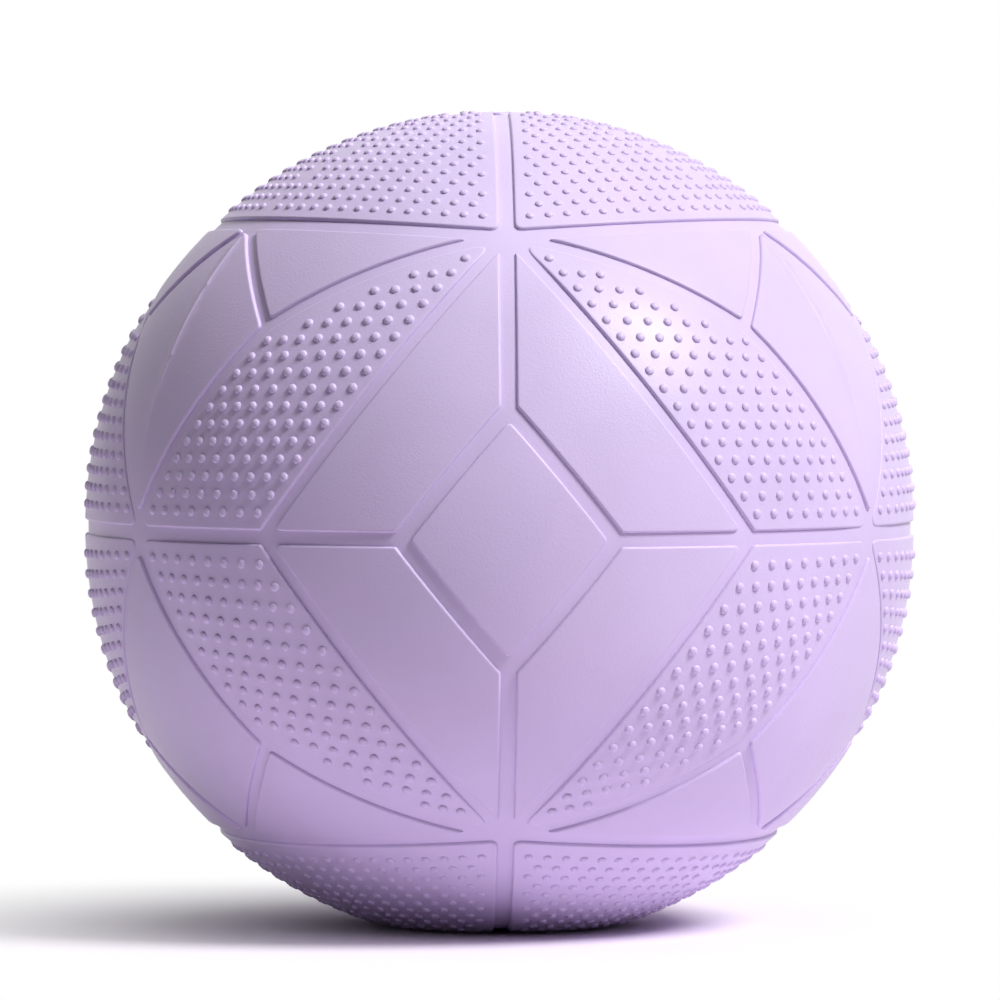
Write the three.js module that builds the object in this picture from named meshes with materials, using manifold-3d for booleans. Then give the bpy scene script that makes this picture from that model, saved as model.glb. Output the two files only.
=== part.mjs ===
// A soft pilates ball, inflated and resting on a floor. An air bladder lies inside a rubber carcass.
// Moulded cover panels are bonded to the carcass, with open channels between them, and a push-in plug
// closes the valve at the back.
// Millimetres, +Z up, front towards -Y. The origin is on the floor, under the middle of the ball.

import * as THREE from "three";
import { mergeVertices } from "three/addons/utils/BufferGeometryUtils.js";
import Module from "manifold-3d";

const wasm = await Module();
wasm.setup();

// The ball and how it rests
const BALL_DIAMETER = 230; // over the panels
const REST_DEPTH = 4; // how much the ball flattens under its own weight
const REST_BLEND = 2; // height over which the flat runs out into the round

// Layers, from the outside in
const PANEL_THICKNESS = 1.2;
const BOND_GAP = 0.3; // bond line between panel and carcass
const CARCASS_WALL = 1.4;
const LINER_GAP = 0.3; // between carcass and bladder
const BLADDER_WALL = 0.9;

// Channels and panel edges
const MAIN_CHANNEL = 4; // along the meridians, the caps and the diamonds
const EQUATOR_CHANNEL = 3.5;
const BRANCH_CHANNEL = 3; // along the petals and between wing and leaf
const EDGE_BEVEL = 0.5;
const PETAL_DROP = 0.5; // how far a petal's crown falls towards its outer edges
const PETAL_DROP_WIDTH = 14;
const TIP_RADIUS = 2.4; // rounded points of caps and petals
const DIAMOND_TIP_RADIUS = 1.6;
const CORNER_RADIUS = 1.4;
const SHARP_RADIUS = 0.4; // the long points of kites and wings, and the corners at the valve

// Valve, on the axis towards +Y
const COLLAR_RADIUS = 5.5;
const COLLAR_MARGIN = 1.5; // channel around the collar
const COLLAR_SINK = 0.3; // top of the collar below the panels' crowns
const COLLAR_SEAT_GAP = 0.1; // between the collar and the carcass
const NECK_RADIUS = 4;
const NECK_CLEARANCE = 0.3;
const FLANGE_RADIUS = 9;
const FLANGE_THICKNESS = 1.2;
const FLANGE_CLEARANCE = 0.3; // between the flange and the bladder
const BORE_RADIUS = 2.4;
const PLUG_CLEARANCE = 0.3; // around the plug and under its head
const PLUG_HEAD_RADIUS = 3.5;
const PLUG_HEAD_THICKNESS = 1;
const PLUG_HEAD_CROWN = 0.3; // rise of the domed head
const PLUG_LENGTH = 15; // under the head
const PLUG_TIP_RADIUS = 1.4;
const PLUG_TAPER_LENGTH = 4;

// Layout of the channels on the ball, in degrees of latitude and longitude
const FACES = 3; // equal faces around the vertical axis
const FACE_PITCH = 360 / FACES;
const STAR_LAT = 44.7; // the eight-armed crossing above and below each face
const CAP_MID_LAT = 47; // the cap's outline, halfway between two stars
const DIAMOND_LAT = 17.6;
const DIAMOND_LON = 14.6;
const PETAL_MID_LAT = 23; // a point on the curved channel between kite and petal
const PETAL_MID_LON = 17.6;
const PETAL_FOOT_LON = 34.9; // where that channel meets the equator
const FORK_LAT = 29.4; // where petal, wing and leaf meet
const FORK_LON = 40.2;
const LEAF_TOP_LAT = 46.2;
const LEAF_FOOT_LON = 60.8;

// Fineness of the facets
const FACET = 17.4; // longest step along a panel's edge and across its crown
const FACET_TURN = 24; // most degrees that one step turns on a tight edge
const FACET_REACH = 0.7; // from a facet's middle to its corners, in steps
const RING_MINIMUM = 4; // points on the smallest ring of a crown
const CORNER_STEPS = 2;
const CAP_FOCUS_LAT = 82; // a cap's facets close on a point near the pole, where the ball rests
const BALL_DETAIL = 5; // subdivisions of the carcass and the bladder
const ROUND_SEGMENTS = 18;

// Radii that follow from the layers
const RADIUS = BALL_DIAMETER / 2;
const PANEL_UNDERSIDE = RADIUS - PANEL_THICKNESS;
const PANEL_SAG = (FACET * FACET_REACH) ** 2 / BALL_DIAMETER; // flat facets below the round
const CARCASS_RADIUS = PANEL_UNDERSIDE - PANEL_SAG - BOND_GAP;
const CARCASS_INSIDE = CARCASS_RADIUS - CARCASS_WALL;
const BLADDER_RADIUS = CARCASS_INSIDE - LINER_GAP;
const BLADDER_INSIDE = BLADDER_RADIUS - BLADDER_WALL;

const CENTRE = new THREE.Vector3();

// Rubber colours
const rubber = (color, roughness) => new THREE.MeshStandardMaterial({ color, roughness, metalness: 0 });
const lavender = rubber(0xc9b3e0, 0.6);
const channelLavender = rubber(0xbfa7d8, 0.65);
const valveLavender = rubber(0xb69ecd, 0.5);
const plugLavender = rubber(0xb79fd2, 0.45);
const butyl = rubber(0x2b2830, 0.5);

// A direction from the ball's centre. Longitude 0 is the front and runs towards +X.
function direction(lat, lon) {
  const phi = THREE.MathUtils.degToRad(90 - lat);
  const theta = THREE.MathUtils.degToRad(lon);
  const { x, y, z } = new THREE.Vector3().setFromSphericalCoords(1, phi, theta);
  return new THREE.Vector3(x, -z, y);
}

// The plane of a channel's centreline: a great circle through two points, or a circle through three.
function seam(a, b, via = CENTRE) {
  return new THREE.Plane().setFromCoplanarPoints(a, b, via);
}

const star = direction(STAR_LAT, 0);
const fork = direction(FORK_LAT, FORK_LON);
const seams = {
  meridian: seam(star, direction(0, 0)),
  nextMeridian: seam(direction(STAR_LAT, FACE_PITCH), direction(0, FACE_PITCH)),
  equator: seam(direction(0, 0), direction(0, FACE_PITCH / 2)),
  cap: seam(star, direction(STAR_LAT, FACE_PITCH), direction(CAP_MID_LAT, FACE_PITCH / 2)),
  diamond: seam(direction(DIAMOND_LAT, 0), direction(0, DIAMOND_LON)),
  petal: seam(star, direction(0, PETAL_FOOT_LON), direction(PETAL_MID_LAT, PETAL_MID_LON)),
  wing: seam(star, fork),
  side: seam(fork, direction(LEAF_TOP_LAT, FACE_PITCH / 2)),
  leaf: seam(fork, direction(0, LEAF_FOOT_LON)),
};

// The mirror image of a seam in the vertical plane at a longitude, or in the equator.
function mirroredSeam(plane, mirror) {
  return plane.clone().applyMatrix4(mirror);
}

const mirrorUpDown = new THREE.Matrix4().makeScale(1, 1, -1);
const mirrorLeftRight = new THREE.Matrix4().makeScale(-1, 1, 1);
const halfTurn = new THREE.Matrix4().makeRotationZ(THREE.MathUtils.degToRad(FACE_PITCH / 2));
const mirrorAtLeaf = halfTurn.clone().multiply(mirrorLeftRight).multiply(halfTurn.clone().invert());

// A panel's edge: the circle half a channel inside its seam, with its axis pointing into the panel.
function edgeCircle(plane, channel, middle) {
  const side = Math.sign(plane.distanceToPoint(middle));
  const normal = plane.normal.clone().multiplyScalar(side);
  const reach = Math.acos(-plane.constant * side) - channel / 2 / RADIUS;
  return { normal, level: Math.cos(reach), radius: RADIUS * Math.sin(reach) };
}

// The crossing of two edge circles that lies nearer to the panel's middle.
function crossing(a, b, middle) {
  const slant = a.normal.dot(b.normal);
  const scale = 1 - slant * slant;
  const base = a.normal.clone().multiplyScalar((a.level - b.level * slant) / scale);
  base.addScaledVector(b.normal, (b.level - a.level * slant) / scale);
  const along = a.normal.clone().cross(b.normal);
  const rise = Math.sqrt((1 - base.lengthSq()) / scale);
  const upper = base.clone().addScaledVector(along, rise);
  const lower = base.clone().addScaledVector(along, -rise);
  return upper.dot(middle) > lower.dot(middle) ? upper : lower;
}

// The angle about a circle's axis from one of its points to another.
function sweep(circle, from, to) {
  const u = from.clone().projectOnPlane(circle.normal);
  const v = to.clone().projectOnPlane(circle.normal);
  return Math.atan2(circle.normal.dot(u.clone().cross(v)), u.dot(v));
}

// How far a rounding of the given radius reaches back along the edges from a corner.
function roundingLength(before, after, corner, radius) {
  const arriving = before.normal.clone().cross(corner);
  const leaving = after.normal.clone().cross(corner);
  const inside = Math.PI - arriving.angleTo(leaving);
  return radius / Math.tan(inside / 2);
}

// A panel's outline as directions, anticlockwise seen from outside. Each edge has its seam, its channel
// width and the rounding of the corner at its end.
function panelOutline(middle, edges) {
  const maxTurn = THREE.MathUtils.degToRad(FACET_TURN);
  const circles = edges.map((edge) => edgeCircle(edge.seam, edge.channel, middle));
  const count = edges.length;
  const corners = circles.map((circle, i) => crossing(circle, circles[(i + 1) % count], middle));
  const trims = corners.map((corner, i) =>
    roundingLength(circles[i], circles[(i + 1) % count], corner, edges[i].corner),
  );
  const runs = circles.map((circle, i) => {
    const before = (i + count - 1) % count;
    const from = corners[before].clone().applyAxisAngle(circle.normal, trims[before] / circle.radius);
    const to = corners[i].clone().applyAxisAngle(circle.normal, -trims[i] / circle.radius);
    const angle = sweep(circle, from, to);
    const steps = Math.ceil(Math.max((angle * circle.radius) / FACET, angle / maxTurn));
    return Array.from({ length: steps + 1 }, (_, k) =>
      from.clone().applyAxisAngle(circle.normal, (angle * k) / steps),
    );
  });
  return runs.flatMap((run, i) => {
    const next = runs[(i + 1) % count];
    const rounding = new THREE.QuadraticBezierCurve3(run.at(-1), corners[i], next[0]);
    const inner = rounding.getPoints(CORNER_STEPS).slice(1, -1);
    return [...run, ...inner.map((point) => point.normalize())];
  });
}

// The length of an outline's stretches, on the unit ball.
function stretches(outline) {
  return outline.map((point, i) => point.distanceTo(outline[(i + 1) % outline.length]));
}

const sumOf = (numbers) => numbers.reduce((sum, number) => sum + number, 0);

// Each point's share of the way round an outline.
function shares(outline) {
  const lengths = stretches(outline);
  const total = sumOf(lengths);
  return lengths.map((_, i) => sumOf(lengths.slice(0, i)) / total);
}

// An outline drawn in by a distance.
function inset(outline, distance) {
  const count = outline.length;
  return outline.map((point, i) => {
    const along = outline[(i + 1) % count].clone().sub(outline[(i + count - 1) % count]);
    const inward = point.clone().cross(along).normalize();
    return point.clone().addScaledVector(inward, distance / RADIUS).normalize();
  });
}

// Rings of points that shrink from an outline to a middle point, with fewer points as they shrink.
function shrinkingRings(outline, fractions, middle) {
  const reach = Math.max(...outline.map((point) => point.angleTo(middle)));
  const steps = Math.ceil((reach * RADIUS) / FACET);
  const perimeter = sumOf(stretches(outline)) * RADIUS;
  const pointAt = (share) => {
    const next = fractions.findIndex((fraction) => fraction > share);
    const i = next < 0 ? outline.length - 1 : next - 1;
    const end = next < 0 ? 1 : fractions[next];
    const mix = (share - fractions[i]) / (end - fractions[i]);
    return outline[i].clone().lerp(outline[(i + 1) % outline.length], mix);
  };
  const rings = [];
  for (let step = 1; step < steps; step++) {
    const size = 1 - step / steps;
    const count = Math.max(RING_MINIMUM, Math.round((perimeter * size) / FACET));
    const ring = Array.from({ length: count }, (_, k) => {
      return { share: k / count, point: middle.clone().lerp(pointAt(k / count), size).normalize() };
    });
    rings.push(ring);
  }
  rings.push([{ share: 0, point: middle }]);
  return rings;
}

// A closed skin through a run of loops that starts and ends in a single point.
function loft(loops) {
  const positions = [];
  const indices = [];
  const starts = [];
  for (const loop of loops) {
    starts.push(positions.length / 3);
    loop.forEach(({ point }) => positions.push(...point));
  }
  const stitch = (a, b, startA, startB) => {
    const edgesA = a.length > 1 ? a.length : 0;
    const edgesB = b.length > 1 ? b.length : 0;
    const endA = (i) => (i + 1 < a.length ? a[i + 1].share : 1);
    const endB = (j) => (j + 1 < b.length ? b[j + 1].share : 1);
    let i = 0;
    let j = 0;
    while (i < edgesA || j < edgesB) {
      const cornerA = startA + (i % a.length);
      const cornerB = startB + (j % b.length);
      const stepA = j >= edgesB || (i < edgesA && endA(i) <= endB(j));
      if (stepA) {
        indices.push(cornerA, startA + ((i + 1) % a.length), cornerB);
        i++;
      } else {
        indices.push(cornerA, startB + ((j + 1) % b.length), cornerB);
        j++;
      }
    }
  };
  for (let k = 0; k + 1 < loops.length; k++) {
    stitch(loops[k], loops[k + 1], starts[k], starts[k + 1]);
  }
  const geometry = new THREE.BufferGeometry();
  geometry.setAttribute("position", new THREE.Float32BufferAttribute(positions, 3));
  geometry.setIndex(indices);
  return geometry;
}

// A bonded panel: underside, upright foot, bevelled shoulder and crown. The facets close on its middle,
// and the drop lowers the crown.
function panelGeometry(outline, { middle = middleOf(...outline), drop = () => 0 } = {}) {
  const fractions = shares(outline);
  const crown = inset(outline, EDGE_BEVEL);
  const numbered = (points) => points.map((point, i) => ({ share: fractions[i], point }));
  const lift = (loop, radiusAt) =>
    loop.map(({ share, point }) => ({ share, point: point.clone().multiplyScalar(radiusAt(point)) }));
  const underside = () => PANEL_UNDERSIDE;
  const crownRadius = (point) => RADIUS - drop(point);
  const shoulderRadius = (point) => crownRadius(point) - EDGE_BEVEL;
  return loft([
    ...shrinkingRings(outline, fractions, middle).reverse().map((ring) => lift(ring, underside)),
    lift(numbered(outline), underside),
    lift(numbered(outline), shoulderRadius),
    lift(numbered(crown), crownRadius),
    ...shrinkingRings(crown, fractions, middle).map((ring) => lift(ring, crownRadius)),
  ]);
}

// A petal's crown runs down towards the edges that it shares with wing and leaf.
function petalDrop(point) {
  const distance = RADIUS * Math.min(
    Math.abs(seams.wing.distanceToPoint(point)),
    Math.abs(seams.leaf.distanceToPoint(point)),
  );
  return PETAL_DROP * (1 - THREE.MathUtils.smoothstep(distance, 0, PETAL_DROP_WIDTH));
}

// The outlines of the six kinds of panel, in the upper right quarter of the front face
const main = (plane, corner) => ({ seam: plane, channel: MAIN_CHANNEL, corner });
const branch = (plane, corner) => ({ seam: plane, channel: BRANCH_CHANNEL, corner });
const equator = (corner) => ({ seam: seams.equator, channel: EQUATOR_CHANNEL, corner });
const middleOf = (...points) => points.reduce((sum, p) => sum.add(p), new THREE.Vector3()).normalize();

function diamondOutline() {
  const leftSeam = mirroredSeam(seams.diamond, mirrorLeftRight);
  const lowerSeam = mirroredSeam(seams.diamond, mirrorUpDown);
  const lowerLeftSeam = mirroredSeam(leftSeam, mirrorUpDown);
  const sides = [seams.diamond, leftSeam, lowerLeftSeam, lowerSeam];
  return panelOutline(direction(0, 0), sides.map((side) => main(side, DIAMOND_TIP_RADIUS)));
}

function kiteOutline() {
  const diamondTips = [direction(DIAMOND_LAT, 0), direction(0, DIAMOND_LON)];
  return panelOutline(middleOf(star, direction(0, PETAL_FOOT_LON), ...diamondTips), [
    equator(CORNER_RADIUS),
    branch(seams.petal, SHARP_RADIUS),
    main(seams.meridian, CORNER_RADIUS),
    main(seams.diamond, CORNER_RADIUS),
  ]);
}

function petalOutline(bite = []) {
  const middle = middleOf(star, direction(0, PETAL_FOOT_LON), direction(0, LEAF_FOOT_LON), fork);
  return panelOutline(middle, [
    equator(bite.length ? SHARP_RADIUS : TIP_RADIUS),
    ...bite,
    branch(seams.leaf, CORNER_RADIUS),
    branch(seams.wing, TIP_RADIUS),
    branch(seams.petal, CORNER_RADIUS),
  ]);
}

function wingOutline() {
  const middle = middleOf(star, fork, direction(LEAF_TOP_LAT, FACE_PITCH / 2));
  return panelOutline(middle, [
    branch(seams.wing, CORNER_RADIUS),
    branch(seams.side, CORNER_RADIUS),
    main(seams.cap, SHARP_RADIUS),
  ]);
}

function leafOutline(bite = []) {
  const middle = direction(FORK_LAT, FACE_PITCH / 2);
  return panelOutline(middle, [
    branch(seams.leaf, bite.length ? SHARP_RADIUS : CORNER_RADIUS),
    ...bite,
    branch(mirroredSeam(seams.leaf, mirrorAtLeaf), CORNER_RADIUS),
    branch(mirroredSeam(seams.side, mirrorAtLeaf), CORNER_RADIUS),
    branch(seams.side, CORNER_RADIUS),
  ]);
}

function capOutline() {
  const middle = middleOf(direction(90, 0), direction(CAP_MID_LAT, FACE_PITCH / 2));
  return panelOutline(middle, [
    main(seams.cap, TIP_RADIUS),
    main(seams.nextMeridian, TIP_RADIUS),
    main(seams.meridian, TIP_RADIUS),
  ]);
}

// The panels at the valve have a round bite for its collar, at the crossing where the leaves' feet meet.
const sideCrossing = direction(0, FACE_PITCH / 2);
const biteLevel = Math.cos((COLLAR_RADIUS + COLLAR_MARGIN) / RADIUS);
const biteEdge = { seam: new THREE.Plane(sideCrossing, -biteLevel), channel: 0, corner: SHARP_RADIUS };
const panelForms = {
  diamond: { plain: panelGeometry(diamondOutline()) },
  kite: { plain: panelGeometry(kiteOutline()) },
  petal: {
    plain: panelGeometry(petalOutline(), { drop: petalDrop }),
    atValve: panelGeometry(petalOutline([biteEdge]), { drop: petalDrop }),
  },
  wing: { plain: panelGeometry(wingOutline()) },
  leaf: {
    plain: panelGeometry(leafOutline()),
    atValve: panelGeometry(leafOutline([biteEdge])),
  },
  cap: { plain: panelGeometry(capOutline(), { middle: direction(CAP_FOCUS_LAT, FACE_PITCH / 2) }) },
};

// The larger of two heights, with a smooth change from one to the other.
function smoothMax(a, b) {
  const overlap = Math.max(REST_BLEND - Math.abs(a - b), 0) / REST_BLEND;
  return Math.max(a, b) + (overlap * overlap * REST_BLEND) / 4;
}

// Presses every layer flat where the ball rests. Each point keeps its depth below the outer skin.
function settle(geometry) {
  const position = geometry.getAttribute("position");
  const point = new THREE.Vector3();
  for (let i = 0; i < position.count; i++) {
    point.fromBufferAttribute(position, i);
    position.setZ(i, smoothMax(point.z, REST_DEPTH - point.length()));
  }
  return geometry;
}

// A copy of a panel form under a symmetry of the ball. A mirrored copy has its triangles turned over.
function placedPanel(form, matrix) {
  const geometry = form.clone().applyMatrix4(matrix);
  if (matrix.determinant() < 0) {
    geometry.index.array.reverse();
  }
  return settle(geometry);
}

// Solids for joining and cutting
function solidFrom(geometry) {
  const bare = geometry.clone();
  bare.deleteAttribute("normal");
  bare.deleteAttribute("uv");
  const merged = mergeVertices(bare);
  const vertProperties = new Float32Array(merged.getAttribute("position").array);
  const triVerts = new Uint32Array(merged.index.array);
  return new wasm.Manifold(new wasm.Mesh({ numProp: 3, vertProperties, triVerts }));
}

function geometryFrom(solid) {
  const { vertProperties, triVerts } = solid.getMesh();
  const geometry = new THREE.BufferGeometry();
  geometry.setAttribute("position", new THREE.BufferAttribute(vertProperties, 3));
  geometry.setIndex(new THREE.BufferAttribute(triVerts, 1));
  return geometry;
}

// A hollow ball with the same facets inside and out, and a round hole for the valve's neck.
function hollowBall(outerRadius, innerRadius) {
  const outer = solidFrom(settle(new THREE.IcosahedronGeometry(outerRadius, BALL_DETAIL)));
  const inner = solidFrom(settle(new THREE.IcosahedronGeometry(innerRadius, BALL_DETAIL)));
  const holeRadius = NECK_RADIUS + NECK_CLEARANCE;
  const hole = new THREE.CylinderGeometry(holeRadius, holeRadius, RADIUS, ROUND_SEGMENTS);
  hole.translate(0, RADIUS, 0);
  return geometryFrom(outer.subtract(inner).subtract(solidFrom(hole)));
}

// Depth of a facet's middle below the round, for the faceted balls
function facetSag(radius) {
  const faceAngle = Math.acos(1 / Math.sqrt(5)) / (BALL_DETAIL + 1);
  return radius * (1 - Math.cos(faceAngle));
}

function lathe(profile) {
  return new THREE.LatheGeometry(profile, ROUND_SEGMENTS);
}

// Heights along the valve's axis, from the ball's centre
const collarTop = RADIUS - COLLAR_SINK;
const collarSeat = CARCASS_RADIUS + COLLAR_SEAT_GAP;
const bladderAtFlange = Math.sqrt(BLADDER_INSIDE ** 2 - FLANGE_RADIUS ** 2);
const flangeTop = bladderAtFlange - facetSag(BLADDER_INSIDE) - FLANGE_CLEARANCE;
const flangeBottom = flangeTop - FLANGE_THICKNESS;
const headSeat = collarTop - PLUG_HEAD_THICKNESS;
const recessFloor = headSeat - PLUG_CLEARANCE;
const recessRadius = PLUG_HEAD_RADIUS + PLUG_CLEARANCE;
const shankRadius = BORE_RADIUS - PLUG_CLEARANCE;
const plugTip = headSeat - PLUG_LENGTH;

// The valve body: flange inside the bladder, neck through both walls, collar with a recess for the plug.
function valveBody() {
  const path = new THREE.Path();
  path.moveTo(BORE_RADIUS, flangeBottom);
  path.lineTo(FLANGE_RADIUS, flangeBottom);
  path.lineTo(FLANGE_RADIUS, flangeTop);
  path.lineTo(NECK_RADIUS, flangeTop);
  path.lineTo(NECK_RADIUS, collarSeat);
  path.lineTo(COLLAR_RADIUS, collarSeat);
  path.lineTo(COLLAR_RADIUS, collarTop - EDGE_BEVEL);
  path.lineTo(COLLAR_RADIUS - EDGE_BEVEL, collarTop);
  path.lineTo(recessRadius, collarTop);
  path.lineTo(recessRadius, recessFloor);
  path.lineTo(BORE_RADIUS, recessFloor);
  path.lineTo(BORE_RADIUS, flangeBottom);
  return lathe(path.getPoints());
}

// The plug: a domed head on a straight shank that tapers to a rounded tip.
function valvePlug() {
  const path = new THREE.Path();
  path.moveTo(0, plugTip);
  path.quadraticCurveTo(PLUG_TIP_RADIUS, plugTip, PLUG_TIP_RADIUS, plugTip + PLUG_TIP_RADIUS);
  path.lineTo(shankRadius, plugTip + PLUG_TAPER_LENGTH);
  path.lineTo(shankRadius, headSeat);
  path.lineTo(PLUG_HEAD_RADIUS, headSeat);
  path.lineTo(PLUG_HEAD_RADIUS, collarTop - PLUG_HEAD_CROWN);
  path.quadraticCurveTo(PLUG_HEAD_RADIUS / 2, collarTop, 0, collarTop);
  return lathe(path.getPoints(CORNER_STEPS * 2));
}

function part(name, geometry, material) {
  const mesh = new THREE.Mesh(geometry, material);
  mesh.name = name;
  return mesh;
}

// The whole ball, standing on the floor
const ball = new THREE.Group();
ball.position.z = RADIUS - REST_DEPTH;

ball.add(
  part("bladder", hollowBall(BLADDER_RADIUS, BLADDER_INSIDE), butyl),
  part("carcass", hollowBall(CARCASS_RADIUS, CARCASS_INSIDE), channelLavender),
  part("valve_body", valveBody(), valveLavender),
  part("valve_plug", valvePlug(), plugLavender),
);

// Panels: each face has a diamond and four of kite, petal and wing, and between two faces lie two leaves
// and two caps.
const faceNames = ["front", "rear_right", "rear_left"];
const gapNames = ["right", "rear", "left"];
const levels = { upper: new THREE.Matrix4(), lower: mirrorUpDown };
const hands = { right: new THREE.Matrix4(), left: mirrorLeftRight };
const valveAxis = new THREE.Vector3(0, 1, 0);

function addPanel(name, { plain, atValve = plain }, matrix) {
  const meetsValve = sideCrossing.clone().applyMatrix4(matrix).dot(valveAxis) > biteLevel;
  ball.add(part(name, placedPanel(meetsValve ? atValve : plain, matrix), lavender));
}

for (let index = 0; index < FACES; index++) {
  const face = faceNames[index];
  const gap = gapNames[index];
  const turn = new THREE.Matrix4().makeRotationZ(THREE.MathUtils.degToRad(index * FACE_PITCH));
  addPanel(`${face}_diamond`, panelForms.diamond, turn);
  for (const [level, flip] of Object.entries(levels)) {
    const turnAndFlip = turn.clone().multiply(flip);
    for (const [hand, swap] of Object.entries(hands)) {
      const matrix = turnAndFlip.clone().multiply(swap);
      addPanel(`${face}_${level}_${hand}_kite`, panelForms.kite, matrix);
      addPanel(`${face}_${level}_${hand}_petal`, panelForms.petal, matrix);
      addPanel(`${face}_${level}_${hand}_wing`, panelForms.wing, matrix);
    }
    addPanel(`${gap}_${level}_leaf`, panelForms.leaf, turnAndFlip);
    addPanel(`${gap}_${level}_cap`, panelForms.cap, turnAndFlip);
  }
}

export default ball;
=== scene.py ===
# A soft lavender pilates ball, resting on a pale floor. Moulded rubber panels with rounded edges are
# bonded to the carcass, some smooth and some with massage nubs, and a push-in plug closes the valve at
# the back.
# Metres, +Z up, front towards -Y. The origin is on the floor, under the middle of the ball.

import math

import bpy
import numpy as np
from mathutils import Matrix, Vector
from mathutils.geometry import delaunay_2d_cdt


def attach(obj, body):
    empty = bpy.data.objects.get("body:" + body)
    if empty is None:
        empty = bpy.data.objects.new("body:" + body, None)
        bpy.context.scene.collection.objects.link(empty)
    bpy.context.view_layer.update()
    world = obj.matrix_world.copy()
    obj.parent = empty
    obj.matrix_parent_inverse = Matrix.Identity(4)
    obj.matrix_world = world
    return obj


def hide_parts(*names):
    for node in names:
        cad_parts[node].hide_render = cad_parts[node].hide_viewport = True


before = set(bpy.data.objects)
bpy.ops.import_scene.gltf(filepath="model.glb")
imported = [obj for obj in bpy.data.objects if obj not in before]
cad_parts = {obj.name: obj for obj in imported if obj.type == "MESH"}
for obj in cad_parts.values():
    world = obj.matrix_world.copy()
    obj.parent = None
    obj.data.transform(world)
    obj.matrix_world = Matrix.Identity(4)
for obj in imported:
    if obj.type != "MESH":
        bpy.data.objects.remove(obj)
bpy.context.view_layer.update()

# The ball and how it rests
RADIUS = 0.115  # over the panels
REST_DEPTH = 0.004  # how much the ball flattens under its own weight
REST_BLEND = 0.002  # height over which the flat runs out into the round
CENTRE = Vector((0, 0, RADIUS - REST_DEPTH))

# Layers under the panels' crowns
CHANNEL_DEPTH = 0.0009
CHANNEL_FLOOR = RADIUS - CHANNEL_DEPTH
FOOT_SINK = 0.00015  # panels reach this far into the carcass
CARCASS_INSIDE = 0.11148
LINER_GAP = 0.0003  # between carcass and bladder
BLADDER_WALL = 0.0009
BLADDER_RADIUS = CARCASS_INSIDE - LINER_GAP
BLADDER_INSIDE = BLADDER_RADIUS - BLADDER_WALL

# Channels and panel edges
MAIN_HALF = 0.0021  # half the channel along the meridians, the caps and the diamonds
EQUATOR_HALF = 0.00185
BRANCH_HALF = 0.00155  # half the channel along the petals and between wing and leaf
EDGE_WIDTH = 0.0006  # of the rounding, from the upright wall to the crown
EDGE_RIM = 0.0003  # width of the level rim next to the rounding
TIP_RADIUS = 0.0024  # rounded points of caps and petals
DIAMOND_TIP_RADIUS = 0.0016
CORNER_RADIUS = 0.0014
SHARP_RADIUS = 0.0004  # the long points of kites and wings, and the corners at the valve
SMALLEST_CORNER = 0.0003  # left on a corner that the edge's rounding draws in
PETAL_DROP = 0.0006  # how far a petal's crown falls towards its outer edges
PETAL_DROP_WIDTH = 0.016
SPINE_HEIGHT = 0.00045  # the rib along the upper leaves
SPINE_WIDTH = 0.0008
SPINE_LINES = (-1, -0.5, 0, 0.5, 1)  # lines of mesh points along the rib, in rib widths from its middle
SPINE_FADE = (8, 28)  # latitudes between which the rib rises

# Nubs
PETAL_NUB = (0.00128, 0.0008)  # radius and height
CAP_NUB = (0.00115, 0.0007)
NUB_SKIRT = 1.08  # radius of the flat ring around a nub, in nub radii
NUB_FULLNESS = 0.87  # power that makes the dome fuller than an ellipse
NUB_RING_ANGLES = (0, 8, 20, 34, 50, 66, 80)  # degrees up the dome
NUB_SIDES = 12
PETAL_ROW_PITCHES = {"upper": (0.0047, 0.0047), "lower": (0.0051, 0.0028)}  # at the equator and the tip
PETAL_ROW_FAN = {"upper": 0.03, "lower": 0.15}  # share by which the rows spread out towards the kite
PETAL_NUB_PITCH = 0.0056
PETAL_FIRST_ROW = 0.0045  # from the petal's foot
PETAL_KITE_MARGINS = (0.0036, 0.003)  # at the equator and at the petal's tip
PETAL_WING_MARGIN = 0.0025
PETAL_LEAF_MARGIN = 0.0026
ROW_ROUNDING = 0.4  # a row gets one more nub from this share of a pitch below it
CAP_ROW_PITCH = 0.0046
CAP_NUB_PITCH = 0.0052
CAP_FIRST_ROW = {"upper": 0.0046, "lower": 0.0058}  # from the cap's edge towards the wings
CAP_SIDE_MARGIN = 0.0042  # from the cap's other edges
CAP_MIDDLE_GAP = 0.6  # least gap between the two halves of a row, in pitches

# Valve, on the axis towards +Y
COLLAR_RADIUS = 0.0055
COLLAR_MARGIN = 0.0015  # channel around the collar
COLLAR_SINK = 0.0003  # top of the collar below the panels' crowns
NECK_RADIUS = 0.004
NECK_CLEARANCE = 0.0003
NECK_HOLE_RADIUS = NECK_RADIUS + NECK_CLEARANCE
FLANGE_RADIUS = 0.009
FLANGE_THICKNESS = 0.0012
FLANGE_TOP = 0.109  # from the ball's centre, inside the bladder
BORE_RADIUS = 0.0024
PLUG_CLEARANCE = 0.0003  # around the plug and under its head
PLUG_HEAD_RADIUS = 0.0035
PLUG_HEAD_THICKNESS = 0.001
PLUG_HEAD_CROWN = 0.0003  # rise of the domed head
PLUG_LENGTH = 0.015  # under the head
PLUG_TIP_RADIUS = 0.0014
PLUG_TAPER_LENGTH = 0.004
VALVE_ROUNDING = 0.0004

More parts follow.
